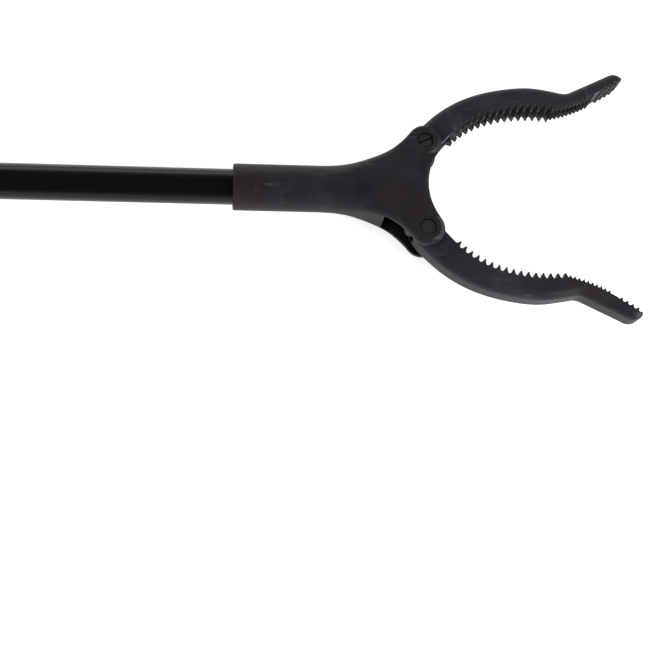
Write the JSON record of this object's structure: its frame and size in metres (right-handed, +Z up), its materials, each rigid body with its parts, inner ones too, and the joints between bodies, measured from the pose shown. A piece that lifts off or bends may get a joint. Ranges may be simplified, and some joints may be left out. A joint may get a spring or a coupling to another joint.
{
  "type": "reacher grabber",
  "caption": "Pistol-grip reaching tool with a long straight tube and two curved toothed jaws that close when the trigger is pulled.",
  "frame": {"origin": "on the flat side of the handle that rests on a table, under the tube's axis and level with the trigger pivot", "axes": "+X along the tube to the jaws, +Y away from the grip, in the plane of the jaws, +Z up from the resting side"},
  "size_m": [0.8155, 0.1688, 0.026],
  "materials": {
    "head_nylon": "satin moulded glass-filled nylon",
    "jaw_nylon": "satin moulded glass-filled nylon",
    "tube_black": "smooth black coating",
    "black_steel": "black oxide",
    "steel_pin": "ground",
    "rod_steel": "drawn",
    "spring_steel": "drawn",
    "zinc_steel": "zinc plated",
    "acetal": "natural acetal",
    "black_acetal": "black acetal",
    "handle_plastic": "fine spark-eroded texture",
    "trigger_plastic": "fine spark-eroded texture"
  },
  "bodies": {
    "body": {"jaw_housing": "head_nylon", "tube": "tube_black", "front_rod_guide": "acetal", "rear_rod_guide": "acetal", "tube_lock_screws": "black_steel", "upper_pivot_screw": "black_steel", "lower_pivot_pin": "black_steel", "jaw_pivot_barrels": "black_steel", "handle_front_shell": "handle_plastic", "handle_rear_shell": "handle_plastic", "handle_screws": "black_steel", "trigger_pivot_pin": "steel_pin"},
    "trigger": {"trigger": "trigger_plastic", "trigger_bushes": "acetal"},
    "rod": {"pull_rod": "rod_steel", "cam_plate": "black_acetal", "cam_lock_nut": "zinc_steel", "rod_end": "acetal", "rod_end_pin": "steel_pin", "rod_end_lock_nut": "zinc_steel", "spring_washer": "zinc_steel", "return_spring": "spring_steel"},
    "upper_jaw": {"upper_jaw": "jaw_nylon", "upper_cam_pin": "steel_pin"},
    "lower_jaw": {"lower_jaw": "jaw_nylon", "lower_cam_pin": "steel_pin"}
  },
  "joints": [
    {"name": "trigger_pull", "type": "hinge", "parent": "body", "child": "trigger", "pos_m": [0, 0.0105, 0.013], "axis": [0, 0, -1], "range_deg": [0, 24.55], "stiffness_Nm_per_rad": 1.2, "springref_deg": -11.46},
    {"name": "rod_slide", "type": "slide", "parent": "body", "child": "rod", "axis": [-1, 0, 0], "range_m": [0, 0.0045], "deforming": ["return_spring"]},
    {"name": "upper_jaw_hinge", "type": "hinge", "parent": "body", "child": "upper_jaw", "pos_m": [0.634, 0.02066, 0.013], "axis": [0, 0, -1], "range_deg": [0, 32]},
    {"name": "lower_jaw_hinge", "type": "hinge", "parent": "body", "child": "lower_jaw", "pos_m": [0.634, -0.02066, 0.013], "axis": [0, 0, 1], "range_deg": [0, 32]}
  ],
  "couplings": [
    {"joint": "rod_slide", "follows": "trigger_pull", "m_per_rad": 0.0105},
    {"joint": "upper_jaw_hinge", "follows": "trigger_pull", "ratio": 1.3032},
    {"joint": "lower_jaw_hinge", "follows": "trigger_pull", "ratio": 1.3032}
  ]
}
